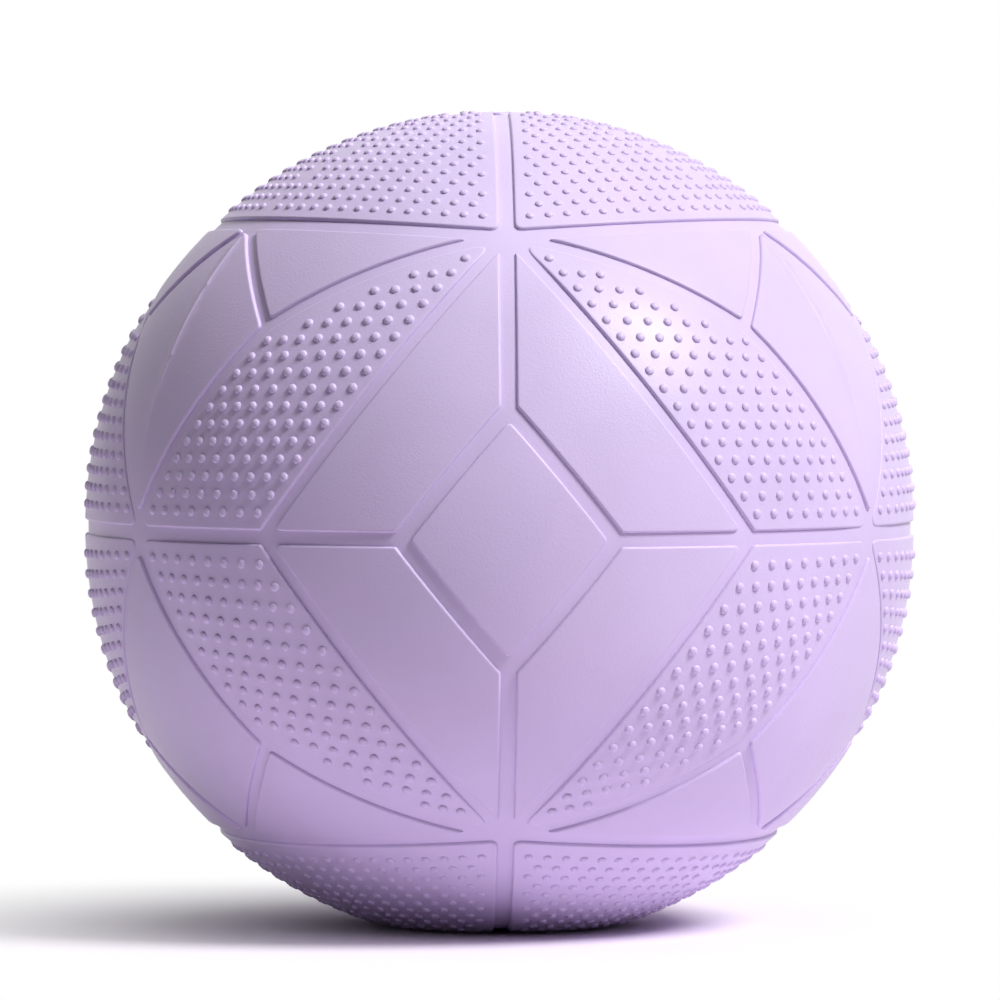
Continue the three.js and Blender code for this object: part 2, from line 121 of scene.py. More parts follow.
# Layout of the channels on the ball, in degrees of latitude and longitude
FACE_GAPS = {"front": "right", "rear_right": "rear", "rear_left": "left"}  # the gap after each face
FACE_PITCH = 360 / len(FACE_GAPS)
STAR_LAT = 44.7  # the eight-armed crossing above and below each face
CAP_MID_LAT = 47  # the cap's outline, halfway between two stars
DIAMOND_LAT = 17.6
DIAMOND_LON = 14.6
PETAL_MID = (23, 17.6)  # a point on the curved channel between kite and petal
PETAL_FOOT_LON = 34.9  # where that channel meets the equator
FORK = (29.4, 40.2)  # where petal, wing and leaf meet
LEAF_TOP_LAT = 46.2
LEAF_FOOT_LON = 60.8

# Fineness of the meshes
EDGE_STEP = 0.002
CORNER_STEPS = 6
EDGE_LOOPS = 8
CROWN_STEP = 0.0042
SPINE_STEP = 0.002
UNDERSIDE_STEP = 0.008
STEP_CLEARANCE = 0.45  # between crown points and what they keep clear of, in steps
CORNER_SHARE = 0.45  # of the shorter side, the most that a rounded corner of a profile takes
SAME_POINT = 1e-9  # flat points closer than this count as one
ROW_SAMPLES = 4001  # places along a row of nubs that are tried
BALL_SEGMENTS = 288
BALL_RINGS = 144
VALVE_SEGMENTS = 72
ROUNDING_STEPS = 4


def direction(lat, lon):
    """A unit vector from the ball's centre. Longitude 0 is the front and runs towards +X."""
    lat, lon = np.broadcast_arrays(np.radians(lat), np.radians(lon))
    return np.stack([np.cos(lat) * np.sin(lon), -np.cos(lat) * np.cos(lon), np.sin(lat)], axis=-1)


def unit(vectors):
    return vectors / np.linalg.norm(vectors, axis=-1, keepdims=True)


def smoothstep(values, low, high):
    share = np.clip((values - low) / (high - low), 0, 1)
    return share * share * (3 - 2 * share)


def seam(a, b, via=(0, 0, 0)):
    """The plane of a channel's centreline, through three points, as (normal, level)."""
    normal = unit(np.cross(b - a, np.asarray(via) - a))
    return normal, float(normal @ a)


def mirrored(plane, mirror):
    normal, level = plane
    return mirror @ normal, level


def turned(point, axis, angles):
    """A point turned about an axis by one angle or several."""
    angles = np.asarray(angles)[..., None]
    along = axis * (axis @ point)
    return along + (point - along) * np.cos(angles) + np.cross(axis, point) * np.sin(angles)


def turn_about_z(degrees):
    return np.array(Matrix.Rotation(math.radians(degrees), 3, "Z"))


MIRROR_UP_DOWN = np.diag([1.0, 1.0, -1.0])
MIRROR_LEFT_RIGHT = np.diag([-1.0, 1.0, 1.0])
HALF_TURN = turn_about_z(FACE_PITCH / 2)
MIRROR_AT_LEAF = HALF_TURN @ MIRROR_LEFT_RIGHT @ HALF_TURN.T

STAR = direction(STAR_LAT, 0)
NEXT_STAR = direction(STAR_LAT, FACE_PITCH)
FORK_POINT = direction(*FORK)
LEAF_TOP = direction(LEAF_TOP_LAT, FACE_PITCH / 2)
SIDE_CROSSING = direction(0, FACE_PITCH / 2)
VALVE_AXIS = np.array([0.0, 1.0, 0.0])

MERIDIAN = seam(STAR, direction(0, 0))
NEXT_MERIDIAN = seam(NEXT_STAR, direction(0, FACE_PITCH))
EQUATOR = seam(direction(0, 0), SIDE_CROSSING)
CAP_SEAM = seam(STAR, NEXT_STAR, direction(CAP_MID_LAT, FACE_PITCH / 2))
DIAMOND_SEAM = seam(direction(DIAMOND_LAT, 0), direction(0, DIAMOND_LON))
PETAL_SEAM = seam(STAR, direction(0, PETAL_FOOT_LON), direction(*PETAL_MID))
WING_SEAM = seam(STAR, FORK_POINT)
SIDE_SEAM = seam(FORK_POINT, LEAF_TOP)
LEAF_SEAM = seam(FORK_POINT, direction(0, LEAF_FOOT_LON))
COLLAR_EDGE = (SIDE_CROSSING, math.cos((COLLAR_RADIUS + COLLAR_MARGIN) / RADIUS))


def level_crown(points):
    return np.zeros(len(points))


class Form:
    """One kind of panel: the middle of it, and its edges anticlockwise seen from outside. Each edge is a
    seam, the distance from the seam to the edge, and the rounding of the corner at its end."""

    def __init__(self, middle, edges, relief=level_crown, nub_size=PETAL_NUB):
        self.middle = unit(middle)
        self.edges = edges
        self.relief = relief
        self.nubs = np.zeros((0, 3))
        self.guides = np.zeros((0, 3))
        self.nub_radius, self.nub_height = nub_size
        circles = self.circles(0)
        corners = self.corners(circles)
        lengths = [self.run_length(circles[i], corners[i - 1], corners[i]) for i in range(len(edges))]
        self.steps = [max(1, math.ceil(length / EDGE_STEP)) for length in lengths]

    def circles(self, inset):
        """Each edge, drawn in by the inset, as the axis of its circle, pointing into the panel, and the
        angle from the axis to the circle."""
        circles = []
        for (normal, level), distance, _ in self.edges:
            side = math.copysign(1, normal @ self.middle - level)
            circles.append((normal * side, math.acos(level * side) - (distance + inset) / RADIUS))
        return circles

    def corners(self, circles):
        following = circles[1:] + circles[:1]
        return [self.crossing(a, b) for a, b in zip(circles, following)]

    def crossing(self, a, b):
        """Where two edge circles cross, nearer to the panel's middle."""
        level_a = math.cos(a[1])
        level_b = math.cos(b[1])
        slant = a[0] @ b[0]
        scale = 1 - slant * slant
        base = (a[0] * (level_a - level_b * slant) + b[0] * (level_b - level_a * slant)) / scale
        rise = np.cross(a[0], b[0]) * math.sqrt((1 - base @ base) / scale)
        return max(base + rise, base - rise, key=lambda point: point @ self.middle)

    @staticmethod
    def sweep(axis, start, end):
        """The angle about an axis from one point to another."""
        u = start - axis * (axis @ start)
        v = end - axis * (axis @ end)
        return math.atan2(axis @ np.cross(u, v), u @ v)

    def run_length(self, circle, start, end):
        axis, reach = circle
        return self.sweep(axis, start, end) * RADIUS * math.sin(reach)

    def clearance(self, points):
        """Distance of points from the nearest edge, inwards."""
        gaps = []
        for axis, reach in self.circles(0):
            gaps.append(RADIUS * (reach - np.arccos(np.clip(points @ axis, -1, 1))))
        return np.min(gaps, axis=0)

    def outline(self, inset):
        """The panel's outline, drawn in by the inset, as directions."""
        circles = self.circles(inset)
        corners = self.corners(circles)
        count = len(circles)
        trims = []
        for i, (_, _, rounding) in enumerate(self.edges):
            arriving = unit(np.cross(circles[i][0], corners[i]))
            leaving = unit(np.cross(circles[(i + 1) % count][0], corners[i]))
            half_corner = (math.pi - math.acos(np.clip(arriving @ leaving, -1, 1))) / 2
            trims.append(max(rounding - inset, SMALLEST_CORNER) / math.tan(half_corner))
        runs = []
        for i, (axis, reach) in enumerate(circles):
            radius = RADIUS * math.sin(reach)
            start = turned(corners[i - 1], axis, trims[i - 1] / radius)
            end = turned(corners[i], axis, -trims[i] / radius)
            angles = np.linspace(0, self.sweep(axis, start, end), self.steps[i] + 1)
            runs.append(turned(start, axis, angles))
        t = np.linspace(0, 1, CORNER_STEPS + 1)[1:-1, None]
        pieces = []
        for i, run in enumerate(runs):
            after = runs[(i + 1) % count]
            rounding = (1 - t) ** 2 * run[-1] + 2 * t * (1 - t) * corners[i] + t**2 * after[0]
            pieces += [run, unit(rounding)]
        return np.concatenate(pieces)


class Projection:
    """The ball's surface around a middle point, laid flat with its angles kept."""

    def __init__(self, middle):
        self.middle = middle
        near_pole = 0.1
        aside = np.cross((0, 0, 1), middle)
        if np.linalg.norm(aside) < near_pole:
            aside = np.cross((1, 0, 0), middle)
        self.right = unit(aside)
        self.up = np.cross(middle, self.right)

    def flat(self, points):
        scale = 2 / (1 + points @ self.middle)
        return np.stack([points @ self.right * scale, points @ self.up * scale], axis=-1)

    def raised(self, flat):
        share = (flat**2).sum(axis=-1, keepdims=True) / 4
        tilted = flat[:, :1] * self.right + flat[:, 1:] * self.up
        return (tilted + (1 - share) * self.middle) / (1 + share)


def crown_points(form, projection, step, inset):
    """A triangular grid of directions inside a panel, clear of its edge, its nubs and its guides."""
    outline = projection.flat(form.outline(0))
    low = outline.min(axis=0)
    high = outline.max(axis=0)
    pitch = step / RADIUS
    rows = np.arange(low[1], high[1], pitch * math.sqrt(3) / 2)
    columns = np.arange(low[0], high[0], pitch)
    grid = np.array([(x + pitch / 2 * (i % 2), y) for i, y in enumerate(rows) for x in columns])
    points = projection.raised(grid)
    points = points[form.clearance(points) > inset + step * STEP_CLEARANCE]
    for spots, radius in ((form.nubs, form.nub_radius * NUB_SKIRT), (form.guides, 0)):
        if len(spots):
            nearest = np.arccos(np.clip((points @ spots.T).max(axis=1), -1, 1)) * RADIUS
            points = points[nearest > radius + step * STEP_CLEARANCE / 2]
    return points


def ring_around(point, radius):
    """Directions in a circle around a point, anticlockwise from outside."""
    projection = Projection(point)
    angles = np.linspace(0, 2 * math.pi, NUB_SIDES, endpoint=False)
    aside = np.cos(angles)[:, None] * projection.right + np.sin(angles)[:, None] * projection.up
    return point * math.cos(radius / RADIUS) + aside * math.sin(radius / RADIUS)


def triangles_within(flat, loops):
    """Triangles over flat points, inside the first closed loop of indices and outside the other loops."""
    edges = [(int(a), int(b)) for loop in loops for a, b in zip(loop, np.roll(loop, -1))]
    points = [Vector(point) for point in flat]
    inside_only = 1
    _, _, faces, origins, _, _ = delaunay_2d_cdt(points, edges, [], inside_only, SAME_POINT)
    loop_of = np.full(len(flat), -1)
    for number, loop in enumerate(loops[1:]):
        loop_of[loop] = number
    triangles = []
    for face in faces:
        a, b, c = (origins[i][0] for i in face)
        if loop_of[a] >= 0 and loop_of[a] == loop_of[b] == loop_of[c]:
            continue
        area = np.cross(flat[b] - flat[a], flat[c] - flat[a])
        triangles.append((a, b, c) if area > 0 else (a, c, b))
    return triangles


class Skin:
    """Points and faces of one closed mesh."""

    def __init__(self):
        self.points = []
        self.faces = []

    def add(self, points):
        start = len(self.points)
        self.points.extend(points)
        return np.arange(start, len(self.points))

    def band(self, lower, upper):
        """Faces between two loops, where the second lies inside or above the first."""
        ends = zip(lower, np.roll(lower, -1), np.roll(upper, -1), upper)
        self.faces.extend([tuple(int(i) for i in face) for face in ends])

    def fan(self, loop, tip):
        self.faces.extend([(int(a), int(b), int(tip)) for a, b in zip(loop, np.roll(loop, -1))])

    def patch(self, triangles, indices):
        self.faces.extend([tuple(int(indices[i]) for i in triangle) for triangle in triangles])


def add_nub(skin, form, nub, skirt):
    """A dome on the crown, from the ring that the crown leaves open for it."""
    lower = skirt
    for angle in np.radians(NUB_RING_ANGLES):
        ring = ring_around(nub, form.nub_radius * math.cos(angle) ** NUB_FULLNESS)
        rise = form.nub_height * math.sin(angle) ** NUB_FULLNESS
        radii = RADIUS + form.relief(ring) + rise
        upper = skin.add(ring * radii[:, None])
        skin.band(lower, upper)
        lower = upper
    top = RADIUS + form.relief(nub[None])[0] + form.nub_height
    skin.fan(lower, skin.add([nub * top])[0])


def panel_skin(form):
    """A panel as a closed mesh around the ball's centre: underside, rounded edge, crown and nubs."""
    skin = Skin()
    projection = Projection(form.middle)

    turns = np.linspace(0, math.pi / 2, EDGE_LOOPS)
    insets = np.append(EDGE_WIDTH * (1 - np.cos(turns)), EDGE_WIDTH + EDGE_RIM)
    heights = np.append(np.sin(turns), 1)
    foot_outline = form.outline(0)
    foot = skin.add(foot_outline * (CHANNEL_FLOOR - FOOT_SINK))
    lower = foot
    for inset, height in zip(insets, heights):
        points = form.outline(inset)
        crown_height = CHANNEL_DEPTH + form.relief(points)
        upper = skin.add(points * (CHANNEL_FLOOR + crown_height * height)[:, None])
        skin.band(lower, upper)
        lower = upper

    rim_outline = form.outline(insets[-1])
    skirts = [ring_around(nub, form.nub_radius * NUB_SKIRT) for nub in form.nubs]
    inner = crown_points(form, projection, CROWN_STEP, insets[-1])
    fresh = np.concatenate(skirts + [form.guides, inner])
    fresh_ids = skin.add(fresh * (RADIUS + form.relief(fresh))[:, None])
    flat = projection.flat(np.concatenate([rim_outline, fresh]))
    rim = np.arange(len(rim_outline))
    loops = [rim] + [len(rim) + NUB_SIDES * k + np.arange(NUB_SIDES) for k in range(len(skirts))]
    indices = np.concatenate([lower, fresh_ids])
    skin.patch(triangles_within(flat, loops), indices)
    for nub, loop in zip(form.nubs, loops[1:]):
        add_nub(skin, form, nub, indices[loop])

    deep = crown_points(form, projection, UNDERSIDE_STEP, 0)
    deep_ids = skin.add(deep * (CHANNEL_FLOOR - FOOT_SINK))
    flat = projection.flat(np.concatenate([foot_outline, deep]))
    triangles = triangles_within(flat, [np.arange(len(foot_outline))])
    skin.patch([face[::-1] for face in triangles], np.concatenate([foot, deep_ids]))
    return np.array(skin.points), skin.faces


def petal_relief(points):
    """A petal's crown runs down towards the edges that it shares with wing and leaf."""
    distances = [np.abs(points @ normal - level) * RADIUS for normal, level in (WING_SEAM, LEAF_SEAM)]
    return -PETAL_DROP * (1 - smoothstep(np.min(distances, axis=0), 0, PETAL_DROP_WIDTH))


def leaf_relief(points):
    """A low rib runs down an upper leaf from its top and fades out."""
    normal = HALF_TURN @ np.array([1.0, 0.0, 0.0])
    across = np.abs(points @ normal) * RADIUS
    height = smoothstep(np.degrees(np.arcsin(points[:, 2])), *SPINE_FADE)
    return SPINE_HEIGHT * height * (1 - smoothstep(across, 0, SPINE_WIDTH))


def spine_points(form):
    """Points along the rib of a leaf, close enough together to show its shape."""
    lats = np.arange(SPINE_FADE[0], LEAF_TOP_LAT, math.degrees(SPINE_STEP / RADIUS))
    lines = []
    for share in SPINE_LINES:
        turn = share * SPINE_WIDTH / RADIUS / np.cos(np.radians(lats))
        lines.append(direction(lats, FACE_PITCH / 2 + np.degrees(turn)))
    points = np.concatenate(lines)
    return points[form.clearance(points) > EDGE_WIDTH + EDGE_RIM + SPINE_WIDTH / 2]


def petal_nubs(form, level):
    """Nubs in rows along the equator. Each row is spread evenly between the petal's two sides."""
    sides = form.circles(0)[-3:]
    longitudes = np.linspace(0, FACE_PITCH / 2, ROW_SAMPLES)
    share = (LEAF_FOOT_LON - longitudes) / (LEAF_FOOT_LON - PETAL_FOOT_LON)
    nubs = []
    height = EQUATOR_HALF + PETAL_FIRST_ROW
    tip_height = RADIUS * math.radians(STAR_LAT)
    while height < tip_height:
        lat = math.degrees(height / RADIUS)
        height += np.interp(height, (0, tip_height), PETAL_ROW_PITCHES[level])
        row = direction(lat * (1 + PETAL_ROW_FAN[level] * share), longitudes)
        kite_margin = np.interp(lat, (0, STAR_LAT), PETAL_KITE_MARGINS)
        margins = PETAL_LEAF_MARGIN, PETAL_WING_MARGIN, kite_margin
        inside = np.ones(ROW_SAMPLES, dtype=bool)
        for (axis, reach), margin in zip(sides, margins):
            inside &= RADIUS * (reach - np.arccos(row @ axis)) > margin
        if not inside.any():
            continue
        ends = np.flatnonzero(inside)[[0, -1]]
        length = RADIUS * math.acos(min(row[ends[0]] @ row[ends[1]], 1))
        count = 1 + math.floor(length / PETAL_NUB_PITCH + ROW_ROUNDING)
        picks = np.linspace(*ends, count) if count > 1 else np.array([ends.mean()])
        nubs.extend(row[picks.round().astype(int)])
    return np.array(nubs)


def cap_nubs(form, level):
    """Nubs in rows along a cap's lower edge. They start at both sides, every other row half a pitch
    further in."""
    (axis, reach), *sides = form.circles(0)
    lowest = unit(form.middle - axis * (axis @ form.middle))
    angles = np.linspace(0, math.pi / 2, ROW_SAMPLES)
    nubs = []
    distances = np.arange(CAP_FIRST_ROW[level] / RADIUS, reach, CAP_ROW_PITCH / RADIUS)
    for number, distance in enumerate(distances):
        circle_reach = reach - distance
        start = axis * math.cos(circle_reach) + lowest * math.sin(circle_reach)
        row = turned(start, axis, angles)
        gaps = [RADIUS * (side_reach - np.arccos(row @ side)) for side, side_reach in sides]
        inside = np.min(gaps, axis=0) > CAP_SIDE_MARGIN
        if not inside[0]:
            continue
        end = angles[inside].max()
        pitch = CAP_NUB_PITCH / (RADIUS * math.sin(circle_reach))
        half = np.arange(end - number % 2 * pitch / 2, CAP_MIDDLE_GAP * pitch / 2, -pitch)
        nubs.extend(turned(start, axis, np.concatenate([-half, half])))
    return np.array(nubs)


def diamond_form():
    left = mirrored(DIAMOND_SEAM, MIRROR_LEFT_RIGHT)
    lower = mirrored(DIAMOND_SEAM, MIRROR_UP_DOWN)
    lower_left = mirrored(left, MIRROR_UP_DOWN)
    sides = (DIAMOND_SEAM, left, lower_left, lower)
    return Form(direction(0, 0), [(side, MAIN_HALF, DIAMOND_TIP_RADIUS) for side in sides])


def kite_form():
    middle = STAR + direction(0, PETAL_FOOT_LON) + direction(0, DIAMOND_LON) + direction(DIAMOND_LAT, 0)
    edges = [
        (EQUATOR, EQUATOR_HALF, CORNER_RADIUS),
        (PETAL_SEAM, BRANCH_HALF, SHARP_RADIUS),
        (MERIDIAN, MAIN_HALF, CORNER_RADIUS),
        (DIAMOND_SEAM, MAIN_HALF, CORNER_RADIUS),
    ]
    return Form(middle, edges)


def petal_form(level, at_valve):
    middle = STAR + direction(0, PETAL_FOOT_LON) + direction(0, LEAF_FOOT_LON) + FORK_POINT
    edges = [
        (EQUATOR, EQUATOR_HALF, SHARP_RADIUS if at_valve else TIP_RADIUS),
        (LEAF_SEAM, BRANCH_HALF, CORNER_RADIUS),
        (WING_SEAM, BRANCH_HALF, TIP_RADIUS),
        (PETAL_SEAM, BRANCH_HALF, CORNER_RADIUS),
    ]
    if at_valve:
        edges.insert(1, (COLLAR_EDGE, 0, SHARP_RADIUS))
    form = Form(middle, edges, petal_relief)
    nubs = petal_nubs(form, level)
    form.nubs = nubs[form.clearance(nubs) >= PETAL_LEAF_MARGIN]
    return form


def wing_form():
    edges = [
        (WING_SEAM, BRANCH_HALF, CORNER_RADIUS),
        (SIDE_SEAM, BRANCH_HALF, CORNER_RADIUS),
        (CAP_SEAM, MAIN_HALF, SHARP_RADIUS),
    ]
    return Form(STAR + FORK_POINT + LEAF_TOP, edges)


def leaf_form(level, at_valve):
    other_leaf = mirrored(LEAF_SEAM, MIRROR_AT_LEAF)
    other_side = mirrored(SIDE_SEAM, MIRROR_AT_LEAF)
    planes = (LEAF_SEAM, other_leaf, other_side, SIDE_SEAM)
    edges = [(plane, BRANCH_HALF, CORNER_RADIUS) for plane in planes]
    if at_valve:
        edges[:1] = [(LEAF_SEAM, BRANCH_HALF, SHARP_RADIUS), (COLLAR_EDGE, 0, SHARP_RADIUS)]
    form = Form(direction(FORK[0], FACE_PITCH / 2), edges)
    if level == "upper":
        form.relief = leaf_relief
        form.guides = spine_points(form)
    return form


def cap_form(level):
    middle = direction(90, 0) + direction(CAP_MID_LAT, FACE_PITCH / 2)
    edges = [(plane, MAIN_HALF, TIP_RADIUS) for plane in (CAP_SEAM, NEXT_MERIDIAN, MERIDIAN)]
    form = Form(middle, edges, nub_size=CAP_NUB)
    form.nubs = cap_nubs(form, level)
    return form


def settled(points):
    """Presses points flat where the ball rests, with a smooth step to the round. Nubs there are pressed
    into the crown."""
    heights = points[:, 2]
    flats = REST_DEPTH - np.minimum(np.linalg.norm(points, axis=1), RADIUS)
    overlap = np.clip(1 - np.abs(heights - flats) / REST_BLEND, 0, 1)
    blended = np.maximum(heights, flats) + overlap**2 * REST_BLEND / 4
    lowest = REST_DEPTH - RADIUS
    return np.column_stack([points[:, :2], np.maximum(blended, lowest)])


def piece(name, points, faces, node, body, slot, material):
    """A closed mesh around the ball's centre that stands for a solid."""
    mesh = bpy.data.meshes.new(name)
    mesh.from_pydata((points + np.array(CENTRE)).tolist(), [], faces)
    mesh.polygons.foreach_set("use_smooth", np.ones(len(mesh.polygons), dtype=bool))
    mesh.materials.append(material)
    mesh.update()
    obj = bpy.data.objects.new(name, mesh)
    bpy.context.scene.collection.objects.link(obj)
    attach(obj, body)
    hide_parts(node)


def panel(node, skin, matrix, material):
    """One panel, turned or mirrored to its place on the ball."""
    points, faces = skin
    if np.linalg.det(matrix) < 0:
        faces = [face[::-1] for face in faces]
    piece(f"{node}_panel", settled(points @ matrix.T), faces, node, "ball", "panel_rubber", material)


def meets_valve(matrix):
    """Whether a petal or leaf, put in its place, touches the crossing that holds the valve."""
    return (matrix @ SIDE_CROSSING) @ VALVE_AXIS > math.cos(COLLAR_RADIUS / RADIUS)


def rounded(profile, radius):
    """A closed profile with its corners rounded as far as their neighbours allow."""
    points = []
    corners = [np.array(corner, dtype=float) for corner in profile]
    count = len(corners)
    for i, corner in enumerate(corners):
        before = corners[i - 1] - corner
        after = corners[(i + 1) % count] - corner
        shorter = min(np.linalg.norm(before), np.linalg.norm(after))
        reach = min(radius, shorter * CORNER_SHARE)
        start = corner + unit(before) * reach
        end = corner + unit(after) * reach
        for t in np.linspace(0, 1, ROUNDING_STEPS + 1):
            points.append((1 - t) ** 2 * start + 2 * t * (1 - t) * corner + t**2 * end)
    return points


def lathed(profile, segments, closed):
    """A profile of (radius, height) turned about the valve's axis. Points on the axis become tips."""
    skin = Skin()
    angles = np.linspace(0, 2 * math.pi, segments, endpoint=False)
    circle = np.column_stack([np.sin(angles), np.zeros(segments), np.cos(angles)])
    loops = []
    for radius, height in profile:
        middle = np.array([0.0, height, 0.0])
        loops.append(skin.add(middle + radius * circle if radius > 0 else [middle]))
    pairs = list(zip(loops, loops[1:]))
    if closed:
        pairs.append((loops[-1], loops[0]))
    for a, b in pairs:
        if len(a) == 1:
            skin.fan(b[::-1], a[0])
        elif len(b) == 1:
            skin.fan(a, b[0])
        else:
            skin.band(a, b)
    return np.array(skin.points), skin.faces


def open_ball(radius):
    """A sphere from the pole opposite the valve up to the round hole for the valve's neck."""
    rim = math.asin(NECK_HOLE_RADIUS / radius)
    angles = np.linspace(math.pi, rim, BALL_RINGS)[1:]
    profile = [(0, -radius)] + [(radius * math.sin(a), radius * math.cos(a)) for a in angles]
    return lathed(profile, BALL_SEGMENTS, False)


def hollow_ball(outer, inner):
    """A rubber ball with a hole for the valve's neck, as a closed wall."""
    outside, faces = open_ball(outer)
    inside, inner_faces = open_ball(inner)
    count = len(outside)
    faces += [tuple(i + count for i in face[::-1]) for face in inner_faces]
    rim = np.arange(count - BALL_SEGMENTS, count)
    joint = Skin()
    joint.band(rim, rim + count)
    return settled(np.concatenate([outside, inside])), faces + joint.faces


# Heights along the valve's axis, from the ball's centre
COLLAR_TOP = RADIUS - COLLAR_SINK
HEAD_SEAT = COLLAR_TOP - PLUG_HEAD_THICKNESS
RECESS_FLOOR = HEAD_SEAT - PLUG_CLEARANCE
PLUG_TIP = HEAD_SEAT - PLUG_LENGTH


def valve_body():
    """Flange inside the bladder, neck through both walls, and a collar with a recess for the plug."""
    recess_radius = PLUG_HEAD_RADIUS + PLUG_CLEARANCE
    profile = [
        (BORE_RADIUS, FLANGE_TOP - FLANGE_THICKNESS),
        (FLANGE_RADIUS, FLANGE_TOP - FLANGE_THICKNESS),
        (FLANGE_RADIUS, FLANGE_TOP),
        (NECK_RADIUS, FLANGE_TOP),
        (NECK_RADIUS, CHANNEL_FLOOR),
        (COLLAR_RADIUS, CHANNEL_FLOOR - FOOT_SINK),
        (COLLAR_RADIUS, COLLAR_TOP),
        (recess_radius, COLLAR_TOP),
        (recess_radius, RECESS_FLOOR),
        (BORE_RADIUS, RECESS_FLOOR),
    ]
    return lathed(rounded(profile, VALVE_ROUNDING), VALVE_SEGMENTS, True)


def valve_plug():
    """A domed head on a straight shank that tapers to a rounded tip. Halfway out, the dome has fallen by a
    quarter of its rise."""
    shank = BORE_RADIUS - PLUG_CLEARANCE
    tip = []
    for angle in np.linspace(0, math.pi / 2, 2 * ROUNDING_STEPS + 1):
        rise = PLUG_TIP_RADIUS * (1 - math.cos(angle))
        tip.append((PLUG_TIP_RADIUS * math.sin(angle), PLUG_TIP + rise))
    head = [
        (shank, PLUG_TIP + PLUG_TAPER_LENGTH),
        (shank, HEAD_SEAT),
        (PLUG_HEAD_RADIUS, HEAD_SEAT),
        (PLUG_HEAD_RADIUS, COLLAR_TOP - PLUG_HEAD_CROWN),
        (PLUG_HEAD_RADIUS / 2, COLLAR_TOP - PLUG_HEAD_CROWN / 4),
        (0, COLLAR_TOP),
    ]
    softened = rounded(tip[-1:] + head, VALVE_ROUNDING)
    middle = softened[ROUNDING_STEPS + 1 : -ROUNDING_STEPS - 1]
    return lathed(tip + middle + [(0, COLLAR_TOP)], VALVE_SEGMENTS, False)


# Rubber and plastic
GLOSS = 0.3
TINTS = (0.94, 1.05)  # the darkest and the lightest clouds, in shares of the colour
TINT_STRETCH = (-0.5, 1.5)  # the clouds' noise, stretched over the tints
ROUGHNESS_SPREAD = 0.06
CLOUDS = (22, 3)  # scale and detail of the noise
PATCHES = (60, 2)
GRAIN = (2200, 4)
GRAIN_CELLS = 1700
GRAIN_STRENGTH = 0.6
LAVENDER = (0.67, 0.55, 0.83)
VALVE_PURPLE = (0.46, 0.34, 0.62)
PLUG_PURPLE = (0.52, 0.39, 0.68)
BUTYL_BLACK = (0.02, 0.02, 0.022)


def rubber(name, colour, roughness, grain_depth):
    """Satin rubber: a fine leathery grain, and slight unevenness of colour and gloss."""
    material = bpy.data.materials.new(name)
    material.use_nodes = True
    nodes, links = material.node_tree.nodes, material.node_tree.links
    shader = nodes["Principled BSDF"]
    shader.inputs["Specular IOR Level"].default_value = GLOSS
    coords = nodes.new("ShaderNodeTexCoord")

    def noise(scale, detail):
        node = nodes.new("ShaderNodeTexNoise")
        node.inputs["Scale"].default_value = scale
        node.inputs["Detail"].default_value = detail
        links.new(coords.outputs["Object"], node.inputs["Vector"])
        return node

    def remap(source, low, high):
        node = nodes.new("ShaderNodeMapRange")
        node.inputs["To Min"].default_value = low
        node.inputs["To Max"].default_value = high
        links.new(source, node.inputs["Value"])
        return node.outputs["Result"]

    clouds = noise(*CLOUDS)
    tint = nodes.new("ShaderNodeMix")
    tint.data_type = "RGBA"
    for socket, share in zip("AB", TINTS):
        tint.inputs[socket].default_value = (*[channel * share for channel in colour], 1)
    links.new(remap(clouds.outputs["Fac"], *TINT_STRETCH), tint.inputs["Factor"])
    links.new(tint.outputs["Result"], shader.inputs["Base Color"])

    patches = noise(*PATCHES)
    spread = remap(patches.outputs["Fac"], roughness - ROUGHNESS_SPREAD, roughness + ROUGHNESS_SPREAD)
    links.new(spread, shader.inputs["Roughness"])

    fine = noise(*GRAIN)
    cells = nodes.new("ShaderNodeTexVoronoi")
    cells.feature = "SMOOTH_F1"
    cells.inputs["Scale"].default_value = GRAIN_CELLS
    links.new(coords.outputs["Object"], cells.inputs["Vector"])
    grain = nodes.new("ShaderNodeMath")
    grain.operation = "ADD"
    links.new(fine.outputs["Fac"], grain.inputs[0])
    links.new(cells.outputs["Distance"], grain.inputs[1])
    bump = nodes.new("ShaderNodeBump")
    bump.inputs["Strength"].default_value = GRAIN_STRENGTH
    bump.inputs["Distance"].default_value = grain_depth
    links.new(grain.outputs["Value"], bump.inputs["Height"])
    links.new(bump.outputs["Normal"], shader.inputs["Normal"])
    return material


panel_rubber = rubber("panel_rubber", LAVENDER, roughness=0.36, grain_depth=0.00006)
channel_rubber = rubber("channel_rubber", LAVENDER, roughness=0.36, grain_depth=0.00004)
valve_rubber = rubber("valve_rubber", VALVE_PURPLE, roughness=0.45, grain_depth=0.00003)
plug_plastic = rubber("plug_plastic", PLUG_PURPLE, roughness=0.38, grain_depth=0.00001)
bladder_butyl = rubber("bladder_butyl", BUTYL_BLACK, roughness=0.45, grain_depth=0.00003)

# The carcass, the bladder and the valve
carcass = hollow_ball(CHANNEL_FLOOR, CARCASS_INSIDE)
bladder = hollow_ball(BLADDER_RADIUS, BLADDER_INSIDE)
piece("carcass_shell", *carcass, "carcass", "ball", "carcass_rubber", channel_rubber)
piece("bladder_shell", *bladder, "bladder", "ball", "bladder_butyl", bladder_butyl)
piece("valve_body_moulding", *valve_body(), "valve_body", "ball", "valve_rubber", valve_rubber)
piece("valve_plug_moulding", *valve_plug(), "valve_plug", "plug", "plug_plastic", plug_plastic)

